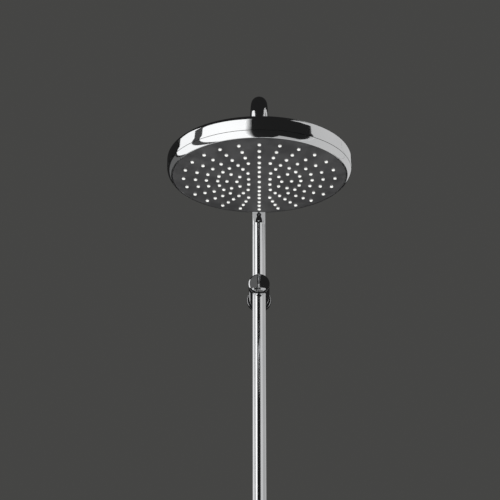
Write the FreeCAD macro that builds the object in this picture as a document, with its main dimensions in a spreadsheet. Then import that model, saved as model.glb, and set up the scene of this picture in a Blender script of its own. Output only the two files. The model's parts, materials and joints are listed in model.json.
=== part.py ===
import FreeCAD, Part

import math
import os

import Sketcher
from FreeCAD import Vector

# Wall-held rainfall shower column.  Millimetres, +Z up, +Y into the wall, -Y out over the bather.
# Origin: centre of the upper bracket's wall face.  Riser axis: x = 0, y = -wall_offset.

DRIVING = {
    # overall layout
    "wall_offset": 60,          # riser axis to the wall
    "arm_reach": 380,           # riser axis to the axis of the head
    "arm_height": 127.2,          # bracket axis up to the arm's centre line
    "riser_length": 760,        # riser tube, from its top in the bracket
    # tubes
    "tube_radius": 10,
    "tube_wall": 1.5,
    "arm_bend_radius": 24,
    "running_gap": 0.05,        # radial gap of a part that turns in its seat
    "seat_gap": 0.1,            # radial gap of a loose seat inside one body
    "fixed_gap": 0.02,          # radial gap of a screwed, brazed or pressed joint
    "edge_break": 0.6,          # chamfer on the edge of a turned piece
    "oring_section": 2,
    # upper bracket
    "bracket_radius": 16.2,
    "bracket_nose": 4.5,        # riser surface to the front face of the bracket
    "cap_straight": 0.8,
    "cap_dome": 1.2,            # rise of the polished front
    "cap_edge": 2.5,
    "cap_plug_radius": 12,
    "cap_plug_length": 3,
    "cap_groove": 0.5,
    "flange_radius": 19.2,
    "flange_depth": 6,
    "flange_edge": 1.5,
    "wall_seal": 1,
    "seal_inset": 0.5,          # a wall seal stays behind the edge of its cover
    "plate_recess": 0.5,        # room for the plug's end behind the wall plate
    "plate_base": 2,
    "boss_radius": 12.5,
    "boss_length": 20,
    "wall_screw_radius": 3,
    "wall_screw_head": 5.6,
    "wall_screw_reach": 45,
    "wall_screw_key": 5,        # across the socket's flats
    "plug_radius": 4,
    "plug_length": 50,
    "plug_taper": 2,
    # swivel inside the bracket
    "spigot_radius": 7,
    "spigot_length": 24,
    "spigot_bore": 5,
    "thrust_ring": 2,
    "stop_height": 7,
    "stop_slot": 2.9,
    "stop_screw_radius": 1.25,
    "stop_swing": 75,           # degrees each way
    "stop_screw_angle": 8.5,    # degrees the dog takes up in the slot, each side
    "socket_below": 3,          # brass sleeve below the spigot's end
    "spigot_brazed": 20,        # spigot inside the arm tube
    "grub_radius": 2,
    "grub_key": 2,
    "grub_key_depth": 1.5,
    "grub_tip": 0.6,
    "grub_inset": 3,            # side screws end below the bracket's surface
    # lower inlet
    "inlet_wall": 3,            # elbow outside the riser, all round
    "inlet_bend_radius": 20,
    "inlet_socket": 24,
    "inlet_bore": 8.5,
    "union_wall": 3.5,          # nut outside the elbow, all round
    "union_length": 18,
    "union_flats": 2,           # elbow surface out to the hexagon's flats
    "union_edge": 3,
    "olive_wall": 1.5,
    "olive_seat": 1.4,          # olive inside the elbow's chamfered mouth
    "olive_top": 3.4,
    "olive_crown": 1,
    "slip_washer": 0.8,
    "slip_gap": 0.1,
    "nipple_radius": 10.48,     # G1/2 thread, outside
    "nipple_bore": 7.5,
    "thread_depth": 1,
    "screen_wall": 0.2,
    "nipple_reach": 22,         # out of the wall face, into the supply
    "nipple_grip": 14,
    "rosette_radius": 32,
    "rosette_depth": 9,
    "rosette_collar": 5,        # flat ring round the elbow
    "rosette_wall": 1.5,
    "rosette_curve": 34,
    # front elbow
    "elbow_radius": 12,
    "elbow_wall": 3.5,
    "elbow_tail": 13.2,         # straight length below the bend
    "elbow_spigot": 12,
    # ball joint
    "ball_radius": 11,
    "ball_bore": 4,
    "ball_foot": 0.78,          # share of the ball's radius left below its centre
    "stud_neck": 6,
    "stud_flange": 10.5,
    "stud_flange_wall": 3,
    "stud_flat": 1.5,           # spanner flat, cut into the flange
    "stud_washer": 1,
    "stud_inset": 0.5,          # stud ends below the top of its thread
    "filter_seat": 2.6,         # step in the stud's top: width and depth
    "filter_seat_depth": 3.2,
    "restrictor_hole": 1.8,
    "restrictor_wall": 2,
    "filter_wall": 0.6,
    "stud_standoff": 21,        # ball centre up to the elbow's lower face
    "stud_shank": 12,
    "liner_wall": 2,
    "cup_radius": 14.8,
    "nut_radius": 18,
    "nut_below": 9.5,
    "nut_above": 10,
    "nut_round": 4,
    "nut_mouth": 30,            # degrees above the ball's equator
    "cup_flange": 1.4,
    "neck_washer": 0.8,
    "cup_depth": 17,            # ball centre down to the top of the head's shell
    "cup_spigot_radius": 8,
    "cup_spigot_bore": 4.5,
    "cup_stem": 16,             # below the shell
    # head
    "rim_centre": 106,          # radius of the circle the rim's lower rounding is centred on
    "rim_round": 16,            # lower rounding
    "rim_top_round": 8,         # tighter upper rounding
    "rim_upper": 20,            # centre of the upper rounding, below the shell's top
    "rim_lower": 30,
    "seam_level": 34,
    "seam_gap": 0.6,
    "lip_level": 42,
    "shoulder_angle": 80,       # degrees: where the upper rounding meets the dome
    "dome_radius": 1100,
    "shell_wall": 1.5,
    "face_level": 44,           # face at the outer nozzle ring, below the shell's top
    "face_sag": 5,
    "face_wall": 3,
    "face_radius": 114.4,
    "mat_wall": 1.6,
    "wall_ring_inner": 103.5,
    "chamber_groove": 1.6,      # half way through the face's upstand
    "chamber_section": 1.5,
    "hub_section": 1.8,
    "hub_step": 2,
    "chamber_level": 38,
    "plate_wall": 2.5,
    "ledge_wall": 1.2,
    "hub_radius": 14,
    "face_screw_circle": 109,
    "face_screw_radius": 1.5,
    "face_screw_count": 8,
    "face_screw_head": 2,
    "face_screw_hole": 4,       # blind hole in the face's upstand
    "ledge_width": 5,
    "lip_gap": 0.3,
    "lip_width": 1.883,         # rim's lower lip, from the face out to the rounding
    "lip_land": 1.3,            # flat part of the lip inside the head
    # nozzles
    "nozzle_ring": 100,
    "nozzle_radius": 2.25,
    "nozzle_height": 1.8,
    "nozzle_bore": 0.7,
    "nozzle_round": 0.55,       # share of the radius rounded at the tip
}
# degrees above the ball's equator covered by each of its two liners
SEAT_BAND = (-55, -14)
THRUST_BAND = (6, 28)
# a cutting outline stands this far past the material; a drilled hole goes this deep
CUT_CLEAR = 1
DRILL_DEPTH = 200
# heights of the seal grooves above the spigot's lower end
SPIGOT_GROOVES = (5, 11)
# radius as a share of the outer nozzle ring, and how many nozzles stand on it
NOZZLE_RINGS = [(1.0, 24), (0.843, 24), (0.698, 24), (0.548, 24), (0.4265, 12), (0.296, 12), (0.162, 6)]

doc = FreeCAD.newDocument("ShowerColumn")
sheet = doc.addObject("Spreadsheet::Sheet", "Sizes")
for row, (alias, value) in enumerate(DRIVING.items(), start=1):
    sheet.set(f"A{row}", alias)
    sheet.set(f"B{row}", str(value))
    sheet.setAlias(f"B{row}", alias)
doc.recompute()


class Size:
    """A length that carries its spreadsheet expression along with its value."""

    def __init__(self, text, value):
        self.text = text
        self.value = float(value)

    def __add__(self, other):
        other = as_size(other)
        return Size(f"({self.text} + {other.text})", self.value + other.value)

    def __sub__(self, other):
        other = as_size(other)
        return Size(f"({self.text} - {other.text})", self.value - other.value)

    def __mul__(self, other):
        other = as_size(other)
        return Size(f"({self.text} * {other.text})", self.value * other.value)

    def __truediv__(self, other):
        other = as_size(other)
        return Size(f"({self.text} / {other.text})", self.value / other.value)

    def __radd__(self, other):
        return as_size(other) + self

    def __rsub__(self, other):
        return as_size(other) - self

    def __rmul__(self, other):
        return as_size(other) * self

    def __neg__(self):
        return Size(f"(0 - {self.text})", -self.value)

    def root(self):
        return Size(f"sqrt({self.text})", math.sqrt(self.value))


def as_size(value):
    return value if isinstance(value, Size) else Size(repr(float(value)), value)


def size(alias):
    return Size(f"Sizes.{alias}", sheet.get(alias))


def turn(radius, degrees):
    """The two coordinates of a point at an angle on a circle."""
    radius = as_size(radius)
    angle = as_size(degrees)
    across = Size(f"({radius.text} * cos({angle.text}))", radius.value * math.cos(math.radians(angle.value)))
    along = Size(f"({radius.text} * sin({angle.text}))", radius.value * math.sin(math.radians(angle.value)))
    return across, along


# ---------------------------------------------------------------- helpers for bodies and sketches

def new_body(label, at=(0, 0, 0)):
    body = doc.addObject("PartDesign::Body", label)
    body.Label = label
    for axis, place in zip("xyz", at):
        place = as_size(place)
        body.setExpression(f"Placement.Base.{axis}", place.text)
    return body


def new_sketch(body, plane):
    sketch = body.newObject("Sketcher::SketchObject", body.Name + "_sketch")
    base = next(f for f in body.Origin.OriginFeatures if f.Role == plane)
    sketch.AttachmentSupport = [(base, "")]
    sketch.MapMode = "FlatFace"
    return sketch


def tie(sketch, kind, index, point, value):
    """Hold one coordinate of a point at a distance from the sketch's origin."""
    value = as_size(value)
    number = sketch.addConstraint(Sketcher.Constraint(kind, -1, 1, index, point, value.value))
    sketch.setExpression(f"Constraints[{number}]", value.text)


def tie_point(sketch, index, point, place):
    tie(sketch, "DistanceX", index, point, place[0])
    tie(sketch, "DistanceY", index, point, place[1])


def flat(place):
    return Vector(as_size(place[0]).value, as_size(place[1]).value, 0)


def arc_through(start, end, radius, left):
    """The arc of a given radius from start to end; left puts its centre left of the way there."""
    a = flat(start)
    b = flat(end)
    chord = b - a
    half = chord.Length / 2
    side = Vector(-chord.y, chord.x, 0) / chord.Length
    height = math.sqrt(max(radius * radius - half * half, 0))
    centre = (a + b) / 2 + side * (height if left else -height)
    first = math.atan2(a.y - centre.y, a.x - centre.x)
    last = math.atan2(b.y - centre.y, b.x - centre.x)
    if not left:
        first, last = last, first
    return Part.ArcOfCircle(Part.Circle(centre, Vector(0, 0, 1), radius), first, last)


def draw_outline(sketch, points, closed=True):
    """A run of lines and arcs through points; (u, v) is a corner, (u, v, radius, left) ends an arc."""
    first = sketch.GeometryCount
    count = len(points)
    last = count if closed else count - 1
    spans = []
    for i in range(last):
        start = points[i][:2]
        target = points[(i + 1) % count]
        end = target[:2]
        if len(target) == 2:
            sketch.addGeometry(Part.LineSegment(flat(start), flat(end)))
            spans.append((1, 2))
        else:
            radius = as_size(target[2])
            index = sketch.addGeometry(arc_through(start, end, radius.value, target[3]))
            number = sketch.addConstraint(Sketcher.Constraint("Radius", index, radius.value))
            sketch.setExpression(f"Constraints[{number}]", radius.text)
            spans.append((1, 2) if target[3] else (2, 1))
    for i in range(last):
        tie_point(sketch, first + i, spans[i][0], points[i][:2])
        following = i + 1
        if following < last or closed:
            following = following % last
            ends = (first + i, spans[i][1], first + following, spans[following][0])
            sketch.addConstraint(Sketcher.Constraint("Coincident", *ends))
        else:
            tie_point(sketch, first + i, spans[i][1], points[-1][:2])


def draw_circle(sketch, centre, radius):
    radius = as_size(radius)
    index = sketch.addGeometry(Part.Circle(flat(centre), Vector(0, 0, 1), radius.value))
    number = sketch.addConstraint(Sketcher.Constraint("Radius", index, radius.value))
    sketch.setExpression(f"Constraints[{number}]", radius.text)
    tie_point(sketch, index, 3, centre)


def bind(feature, name, value):
    value = as_size(value)
    whole = isinstance(getattr(feature, name), int)
    setattr(feature, name, int(value.value) if whole else value.value)
    feature.setExpression(name, value.text)


PLANES = {"z": ("XZ_Plane", "V_Axis"), "y": ("XY_Plane", "V_Axis"), "x": ("XY_Plane", "H_Axis")}


def turned(label, axis, at, outline):
    """A piece turned about an axis: points are (radius, height), or (along, radius) about x."""
    body = new_body(label, at)
    add_turned(body, axis, outline)
    return body


def add_turned(body, axis, outline, cut=False):
    plane, spin = PLANES[axis]
    sketch = new_sketch(body, plane)
    draw_outline(sketch, outline)
    kind = "PartDesign::Groove" if cut else "PartDesign::Revolution"
    feature = body.newObject(kind, body.Name + "_turned")
    feature.Profile = sketch
    feature.ReferenceAxis = (sketch, [spin])
    feature.Angle = 360
    return feature


def bore(body, plane, centre, radius, depth, reverse=False):
    """A round blind hole from an origin plane."""
    sketch = new_sketch(body, plane)
    draw_circle(sketch, centre, radius)
    pocket = body.newObject("PartDesign::Pocket", body.Name + "_bore")
    pocket.Profile = sketch
    bind(pocket, "Length", depth)
    pocket.Reversed = reverse
    return pocket


def through(body, plane, centre, radius):
    sketch = new_sketch(body, plane)
    draw_circle(sketch, centre, radius)
    pocket = body.newObject("PartDesign::Pocket", body.Name + "_through")
    pocket.Profile = sketch
    pocket.Type = "ThroughAll"
    pocket.Midplane = True
    return pocket


def hexagon(across_flats):
    reach = as_size(across_flats) / math.sqrt(3)
    return [turn(reach, 60 * i) for i in range(6)]


def around(body, originals, count):
    """Copies of features spread round the body's Z axis."""
    pattern = body.newObject("PartDesign::PolarPattern", body.Name + "_pattern")
    pattern.Originals = originals
    pattern.Axis = (next(f for f in body.Origin.OriginFeatures if f.Role == "Z_Axis"), [""])
    pattern.Angle = 360
    bind(pattern, "Occurrences", count)
    body.Tip = pattern
    return pattern


def ring(inner, outer, low, high):
    return [(inner, low), (outer, low), (outer, high), (inner, high)]


def oring(label, at, centre_radius, section, axis="z"):
    """A round-section seal ring lying in the plane through at."""
    plane, spin = PLANES[axis]
    body = new_body(label, at)
    sketch = new_sketch(body, plane)
    draw_circle(sketch, (centre_radius, 0), as_size(section) / 2)
    feature = body.newObject("PartDesign::Revolution", label + "_turned")
    feature.Profile = sketch
    feature.ReferenceAxis = (sketch, [spin])
    feature.Angle = 360
    return body


def piped(label, at, route, rings, plane="YZ_Plane"):
    """A tube swept along a route that leaves the body's origin along Z."""
    body = new_body(label, at)
    add_pipe(body, route, rings, plane)
    return body


def add_pipe(body, route, rings, plane="YZ_Plane", cut=False):
    path = new_sketch(body, plane)
    draw_outline(path, route, closed=False)
    section = new_sketch(body, "XY_Plane")
    section.setExpression("AttachmentOffset.Base.z", as_size(route[0][1]).text)
    for radius in rings:
        draw_circle(section, (0, 0), radius)
    kind = "PartDesign::SubtractivePipe" if cut else "PartDesign::AdditivePipe"
    pipe = body.newObject(kind, body.Name + "_pipe")
    pipe.Profile = section
    pipe.Spine = (path, [f"Edge{i + 1}" for i in range(path.GeometryCount)])
    return pipe


# ---------------------------------------------------------------- places shared by several pieces

RISER_Y = -size("wall_offset")
HEAD_Y = RISER_Y - size("arm_reach")
BALL_Z = size("arm_height") - size("arm_bend_radius") - size("elbow_tail") - size("stud_standoff")
RISER_AT = (0, RISER_Y, 0)
BALL_AT = (0, HEAD_Y, BALL_Z)
TUBE_BORE = size("tube_radius") - size("tube_wall")
THRUST_HALF = size("thrust_ring") / 2
INLET_OUT = size("tube_radius") + size("inlet_wall")
NOSE_Y = RISER_Y - size("tube_radius") - size("bracket_nose")
INLET_Z = -THRUST_HALF - size("riser_length") - size("inlet_bend_radius")
INLET_AT = (0, RISER_Y, INLET_Z)
BRANCH_END = -size("rosette_depth") - 3         # end of the elbow's branch, in front of the rosette
SHELL_TOP = -size("cup_depth")
STUD_TOP = size("stud_standoff") + size("stud_shank") - size("stud_inset")
RESTRICTOR_TOP = STUD_TOP - size("filter_seat_depth") + size("restrictor_wall")
HUB_STEP = SHELL_TOP - size("shell_wall") - size("cup_stem")


# ---------------------------------------------------------------- riser and upper bracket (fixed)

def make_riser_tube():
    top = -THRUST_HALF
    turned("riser_tube", "z", RISER_AT, ring(TUBE_BORE, size("tube_radius"), top - size("riser_length"), top))


def make_riser_top_socket():
    """Brass sleeve brazed into the riser's top; the arm's spigot turns in it."""
    top = -THRUST_HALF
    inner = size("spigot_radius") + size("running_gap")
    low = top - size("spigot_length") - size("socket_below")
    turned("riser_top_socket", "z", RISER_AT, ring(inner, TUBE_BORE, low, top))


def make_swivel_thrust_ring():
    inner = size("spigot_radius") + size("running_gap")
    outer = size("tube_radius") - size("running_gap")
    half = THRUST_HALF - size("fixed_gap")
    turned("swivel_thrust_ring", "z", RISER_AT, ring(inner, outer, -half, half))


def make_bracket_body():
    outer = size("bracket_radius")
    inner = size("boss_radius") + size("seat_gap")
    back = -size("plate_base")
    seat = back - size("boss_length")
    recess = size("cap_plug_radius") + size("seat_gap")
    outline = [
        (0, NOSE_Y + size("cap_plug_length") + size("seat_gap")),
        (recess, NOSE_Y + size("cap_plug_length") + size("seat_gap")),
        (recess, NOSE_Y),
        (outer, NOSE_Y),
        (outer, back),
        (inner, back),
        (inner, seat),
        (0, seat),
    ]
    body = turned("bracket_body", "y", (0, 0, 0), outline)
    doc.recompute()
    through(body, "XY_Plane", (0, RISER_Y), size("tube_radius") + size("running_gap"))
    # side screws at the riser: the swivel's stop on +X, the riser's lock on -X
    bore(body, "YZ_Plane", (RISER_Y, size("stop_height")), size("grub_radius"), outer, reverse=True)
    bore(body, "YZ_Plane", (RISER_Y, -size("stop_height")), size("grub_radius"), outer)
    # lock screw into the wall boss, from below
    lock = (0, back - size("boss_length") / 2)
    bore(body, "XY_Plane", lock, size("grub_radius"), outer)


def make_bracket_front_cap():
    edge = size("cap_edge")
    dome = size("cap_dome")
    outer = size("bracket_radius")
    plug = size("cap_plug_radius")
    reach = outer - edge
    shoulder = NOSE_Y - size("cap_straight")
    face = shoulder - edge - dome
    outline = [
        (0, face),
        (reach, face + dome, (reach * reach + dome * dome) / (2 * dome), True),
        (outer, shoulder, edge, True),
        (outer, NOSE_Y),
        (plug, NOSE_Y),
        (plug, NOSE_Y + size("cap_plug_length")),
        (0, NOSE_Y + size("cap_plug_length")),
    ]
    body = turned("bracket_front_cap", "y", (0, 0, 0), outline)
    groove = NOSE_Y + size("cap_plug_length") / 2
    depth = size("cap_groove")
    add_turned(body, "y", ring(plug - depth, plug + CUT_CLEAR, groove - depth, groove + depth), cut=True)


def make_cap_oring():
    """Fills its groove and the seat gap round the plug."""
    groove = NOSE_Y + size("cap_plug_length") / 2
    section = size("cap_groove") + size("seat_gap")
    floor = size("cap_plug_radius") - size("cap_groove")
    oring("cap_oring", (0, groove, 0), floor + section / 2, section, axis="y")


def make_bracket_flange():
    inner = size("bracket_radius") + size("seat_gap")
    outer = size("flange_radius")
    edge = size("flange_edge")
    front = -size("flange_depth")
    outline = [
        (inner, front),
        (outer - edge, front),
        (outer, front + edge, edge, True),
        (outer, -size("wall_seal")),
        (inner, -size("wall_seal")),
    ]
    turned("bracket_flange", "y", (0, 0, 0), outline)


def make_flange_seal():
    inner = size("bracket_radius") + size("seat_gap")
    outer = size("flange_radius") - size("seal_inset")
    turned("flange_seal", "y", (0, 0, 0), ring(inner, outer, -size("wall_seal"), 0))


def make_bracket_wall_plate():
    boss = size("boss_radius")
    back = -size("plate_base")
    front = back - size("boss_length")
    shank = size("wall_screw_radius") + size("seat_gap")
    head = size("wall_screw_head") + size("seat_gap")
    rim = size("plug_radius") + size("seat_gap")
    recess = -size("plate_recess")
    outer = size("bracket_radius") - size("edge_break")
    outline = [
        (rim, 0),
        (rim, recess),
        (shank, recess),
        (shank, front + (head - shank)),
        (head, front),
        (boss, front),
        (boss, back),
        (outer, back),
        (outer, 0),
    ]
    turned("bracket_wall_plate", "y", (0, 0, 0), outline)


def make_wall_screw():
    """Countersunk screw through the wall plate into the plug."""
    front = -size("plate_base") - size("boss_length")
    shank = size("wall_screw_radius")
    head = size("wall_screw_head")
    tip = size("wall_screw_reach")
    outline = [
        (0, front),
        (head, front),
        (shank, front + (head - shank)),
        (shank, tip - shank),
        (0, tip),
    ]
    body = turned("bracket_wall_screw", "y", (0, 0, 0), outline)
    doc.recompute()
    sketch = new_sketch(body, "XZ_Plane")
    sketch.setExpression("AttachmentOffset.Base.z", (-front).text)
    draw_outline(sketch, hexagon(size("wall_screw_key")))
    pocket = body.newObject("PartDesign::Pocket", "bracket_wall_screw_socket")
    pocket.Profile = sketch
    bind(pocket, "Length", size("wall_screw_radius"))


def make_wall_plug():
    """Nylon plug in the drilled wall, split at its far end."""
    shank = size("wall_screw_radius")
    outer = size("plug_radius")
    length = size("plug_length")
    taper = size("plug_taper")
    outline = [
        (shank, 0),
        (outer, 0),
        (outer, length - taper),
        (outer - taper / 2, length),
        (0, length),
        (0, size("wall_screw_reach") + CUT_CLEAR),
        (shank, size("wall_screw_reach") - shank),
    ]
    turned("bracket_wall_plug", "y", (0, 0, 0), outline)


def grub(label, at, placing, tip_radius, tip_length, length):
    """A headless screw along its own Z, tip downwards, with a hexagon socket in its top."""
    radius = size("grub_radius")
    outline = [
        (0, 0),
        (tip_radius, 0),
        (tip_radius, tip_length),
        (radius, tip_length),
        (radius, length),
        (0, length),
    ]
    body = turned(label, "z", at, outline)
    body.Placement = FreeCAD.Placement(body.Placement.Base, placing)
    doc.recompute()
    sketch = new_sketch(body, "XY_Plane")
    sketch.setExpression("AttachmentOffset.Base.z", as_size(length).text)
    draw_outline(sketch, hexagon(size("grub_key")))
    pocket = body.newObject("PartDesign::Pocket", label + "_socket")
    pocket.Profile = sketch
    bind(pocket, "Length", size("grub_key_depth"))


def make_side_screws():
    reach = size("tube_radius")
    tip = size("grub_tip")
    dog = size("tube_wall") - size("seat_gap") * 2
    slack = size("running_gap") + tip
    depth = size("bracket_radius") - reach - size("grub_inset")
    stop_tip = size("stop_screw_radius")
    outwards = FreeCAD.Rotation(Vector(0, 1, 0), 90)
    inwards = FreeCAD.Rotation(Vector(0, 1, 0), -90)
    stop_at = (reach - dog, RISER_Y, size("stop_height"))
    grub("arm_stop_screw", stop_at, outwards, stop_tip, dog + slack, dog + slack + depth)
    lock_at = (-reach - size("fixed_gap"), RISER_Y, -size("stop_height"))
    grub("riser_grub_screw", lock_at, inwards, stop_tip, tip, tip + depth)
    boss_at = (0, -size("plate_base") - size("boss_length") / 2, -size("boss_radius"))
    upside_down = FreeCAD.Rotation(Vector(1, 0, 0), 180)
    below = size("bracket_radius") - size("boss_radius") - tip
    grub("bracket_grub_screw", boss_at, upside_down, stop_tip, tip, below)


# ---------------------------------------------------------------- lower inlet (fixed)

def make_inlet_elbow():
    """Cast elbow: a socket for the riser on top, a threaded branch towards the wall."""
    outer = INLET_OUT
    bend = size("inlet_bend_radius")
    top = bend + size("inlet_socket")
    branch = BRANCH_END - RISER_Y
    route = [(0, top), (0, bend), (bend, 0, bend, True), (branch, 0)]
    body = piped("inlet_elbow", INLET_AT, route, [outer, size("inlet_bore")])
    doc.recompute()
    seat = size("tube_radius") + size("running_gap")
    add_turned(body, "z", ring(0, seat, bend, top + CUT_CLEAR), cut=True)
    # threaded end of the branch, for the wall nipple
    thread = size("nipple_radius") + size("fixed_gap")
    start = branch - size("nipple_grip")
    sketch = new_sketch(body, "XZ_Plane")
    sketch.setExpression("AttachmentOffset.Base.z", (-start).text)
    draw_circle(sketch, (0, 0), thread)
    pocket = body.newObject("PartDesign::Pocket", "inlet_elbow_thread")
    pocket.Profile = sketch
    bind(pocket, "Length", size("nipple_grip") + CUT_CLEAR)
    # chamfered mouth for the olive
    chamfer = size("olive_wall")
    low = top - chamfer
    olive = seat + chamfer
    high = top + CUT_CLEAR
    add_turned(body, "z", [(0, low), (seat, low), (olive, top), (olive, high), (0, high)], cut=True)


def make_union():
    """Compression nut, olive and slip washer that hold the riser in the elbow."""
    at = (0, RISER_Y, INLET_Z + size("inlet_bend_radius") + size("inlet_socket"))
    tube = size("tube_radius")
    tight = size("fixed_gap")
    grip = tube + tight
    outer = INLET_OUT + size("union_wall")
    under = size("union_length") / 2
    inner = INLET_OUT + tight
    crown = grip + size("olive_wall")
    shoulder = grip + size("edge_break")
    olive_top = size("olive_top")
    olive_low = -size("olive_seat")
    olive = [
        (grip, olive_low),
        (grip, olive_top),
        (shoulder, olive_top),
        (crown, size("olive_crown")),
        (crown, tight),
    ]
    turned("riser_olive", "z", at, olive)
    washer_low = olive_top + size("slip_gap")
    washer_top = washer_low + size("slip_washer")
    washer_out = inner - size("slip_gap") * 2
    turned("union_slip_washer", "z", at, ring(grip, washer_out, washer_low, washer_top))
    edge = size("union_edge")
    chamfer = edge / 3
    hole = tube + size("seat_gap")
    step = washer_top + size("slip_gap")
    outline = [
        (inner, -under),
        (outer - chamfer, -under),
        (outer, chamfer - under),
        (outer, under - edge),
        (outer - edge, under, edge, True),
        (hole, under),
        (hole, step),
        (inner, step),
    ]
    body = turned("riser_union_nut", "z", at, outline)
    doc.recompute()
    sketch = new_sketch(body, "XY_Plane")
    draw_outline(sketch, hexagon((INLET_OUT + size("union_flats")) * 2))
    draw_circle(sketch, (0, 0), outer + edge)
    flats = body.newObject("PartDesign::Pocket", "riser_union_nut_flats")
    flats.Profile = sketch
    flats.Type = "ThroughAll"
    flats.Midplane = True


def make_inlet_nipple():
    """G1/2 nipple between the elbow's branch and the pipe in the wall."""
    start = BRANCH_END - size("nipple_grip")
    outer = size("nipple_radius")
    depth = size("thread_depth")
    neck = outer - depth
    first = start + size("screen_wall")
    outline = [
        (size("nipple_bore"), first),
        (neck, first),
        (outer, first + depth),
        (outer, BRANCH_END - depth),
        (neck, BRANCH_END),
        (neck, 0),
        (outer, depth),
        (outer, size("nipple_reach") - depth),
        (neck, size("nipple_reach")),
        (size("nipple_bore"), size("nipple_reach")),
    ]
    turned("inlet_nipple", "y", (0, 0, INLET_Z), outline)


def make_inlet_screen():
    """Screen washer where the nipple meets the elbow's bore."""
    step = BRANCH_END - size("nipple_grip")
    outer = size("nipple_radius") - size("thread_depth")
    turned("inlet_screen", "y", (0, 0, INLET_Z), ring(0, outer, step, step + size("screen_wall")))


def make_inlet_rosette():
    inner = INLET_OUT + size("seat_gap")
    outer = size("rosette_radius")
    front = -size("rosette_depth")
    back = -size("wall_seal")
    wall = size("rosette_wall")
    curve = size("rosette_curve")
    collar = inner + size("rosette_collar")
    outline = [
        (inner, front),
        (collar, front),
        (outer, back - wall, curve, True),
        (outer, back),
        (outer - wall, back),
        (collar, front + wall, curve - wall, False),
        (inner, front + wall),
    ]
    turned("inlet_rosette", "y", (0, 0, INLET_Z), outline)


def make_rosette_seal():
    outer = size("rosette_radius") - size("seal_inset")
    inner = outer - size("rosette_collar")
    turned("rosette_seal", "y", (0, 0, INLET_Z), ring(inner, outer, -size("wall_seal"), 0))


# ---------------------------------------------------------------- swivelling arm

def make_arm_tube():
    height = size("arm_height")
    bend = size("arm_bend_radius")
    low = THRUST_HALF
    far = -(size("arm_reach") - bend)
    route = [(0, low), (0, height - bend), (-bend, height, bend, True), (far, height)]
    body = piped("arm_tube", RISER_AT, route, [size("tube_radius"), TUBE_BORE])
    doc.recompute()
    # slot for the stop screw: its two ends are the arm's end stops
    sketch = new_sketch(body, "XZ_Plane")
    half = size("stop_slot") / 2
    middle = size("stop_height")
    inside = TUBE_BORE - size("fixed_gap")
    outside = size("tube_radius") + CUT_CLEAR
    draw_outline(sketch, ring(inside, outside, middle - half, middle + half))
    slot = body.newObject("PartDesign::Groove", "arm_tube_slot")
    slot.Profile = sketch
    slot.ReferenceAxis = (sketch, ["V_Axis"])
    slot.Midplane = True
    bind(slot, "Angle", (size("stop_swing") + size("stop_screw_angle")) * 2)


def make_arm_spigot():
    """Brass spigot brazed into the arm tube, with two seal grooves on its lower half."""
    turn_radius = size("spigot_radius")
    low = -size("spigot_length")
    half = size("oring_section") / 2
    groove = turn_radius - half * 1.3
    edge = size("edge_break")
    high = THRUST_HALF + size("spigot_brazed")
    outline = [(size("spigot_bore"), low), (turn_radius - edge, low), (turn_radius, low + edge)]
    for rise in SPIGOT_GROOVES:
        level = low + rise
        outline += [
            (turn_radius, level - half),
            (groove, level - half),
            (groove, level + half),
            (turn_radius, level + half),
        ]
    outline += [
        (turn_radius, THRUST_HALF),
        (TUBE_BORE, THRUST_HALF),
        (TUBE_BORE, high),
        (size("spigot_bore"), high),
    ]
    turned("arm_swivel_spigot", "z", RISER_AT, outline)


def make_spigot_orings():
    """Two identical seals in one node."""
    half = size("oring_section") * 0.32
    low = -size("spigot_length")
    body = new_body("spigot_orings", RISER_AT)
    body.AllowCompound = True
    sketch = new_sketch(body, "XZ_Plane")
    for rise in SPIGOT_GROOVES:
        draw_circle(sketch, (size("spigot_radius") - half, low + rise), half)
    feature = body.newObject("PartDesign::Revolution", "spigot_orings_turned")
    feature.Profile = sketch
    feature.ReferenceAxis = (sketch, ["V_Axis"])
    feature.Angle = 360


def make_arm_front_elbow():
    """Cast elbow that widens from the tube to the collar over the head."""
    bend = size("arm_bend_radius")
    tail = size("elbow_tail")
    body = new_body("arm_front_elbow", (0, HEAD_Y, size("arm_height") - bend - tail))
    end = size("elbow_radius")
    start = size("tube_radius")
    path = new_sketch(body, "YZ_Plane")
    draw_outline(path, [(bend, tail + bend), (0, tail, bend, True)], closed=False)
    first = new_sketch(body, "XZ_Plane")
    first.setExpression("AttachmentOffset.Base.z", (-bend).text)
    draw_circle(first, (0, tail + bend), start)
    second = new_sketch(body, "XY_Plane")
    second.setExpression("AttachmentOffset.Base.z", tail.text)
    draw_circle(second, (0, 0), end)
    pipe = body.newObject("PartDesign::AdditivePipe", "arm_front_elbow_bend")
    pipe.Profile = first
    pipe.Spine = (path, ["Edge1"])
    pipe.Transformation = "Multisection"
    pipe.Sections = [(second, "")]
    doc.recompute()
    edge = size("edge_break") * 1.5
    add_turned(body, "z", [(0, 0), (end - edge, 0), (end, edge, edge, True), (end, tail), (0, tail)])
    doc.recompute()
    # spigot into the arm tube
    sketch = new_sketch(body, "XZ_Plane")
    sketch.setExpression("AttachmentOffset.Base.z", (-bend).text)
    draw_circle(sketch, (0, tail + bend), TUBE_BORE - size("fixed_gap"))
    spigot = body.newObject("PartDesign::Pad", "arm_front_elbow_spigot")
    spigot.Profile = sketch
    bind(spigot, "Length", size("elbow_spigot"))
    spigot.Reversed = True
    doc.recompute()
    # waterway from the spigot's end down to the lower face
    socket = end - size("elbow_wall")
    far = bend + size("elbow_spigot") + CUT_CLEAR
    level = tail + bend
    route = [(0, -CUT_CLEAR), (0, tail), (bend, level, bend, False), (far, level)]
    add_pipe(body, route, [socket - size("tube_wall")], cut=True)
    add_turned(body, "z", ring(0, socket, -CUT_CLEAR, size("stud_shank")), cut=True)


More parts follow.
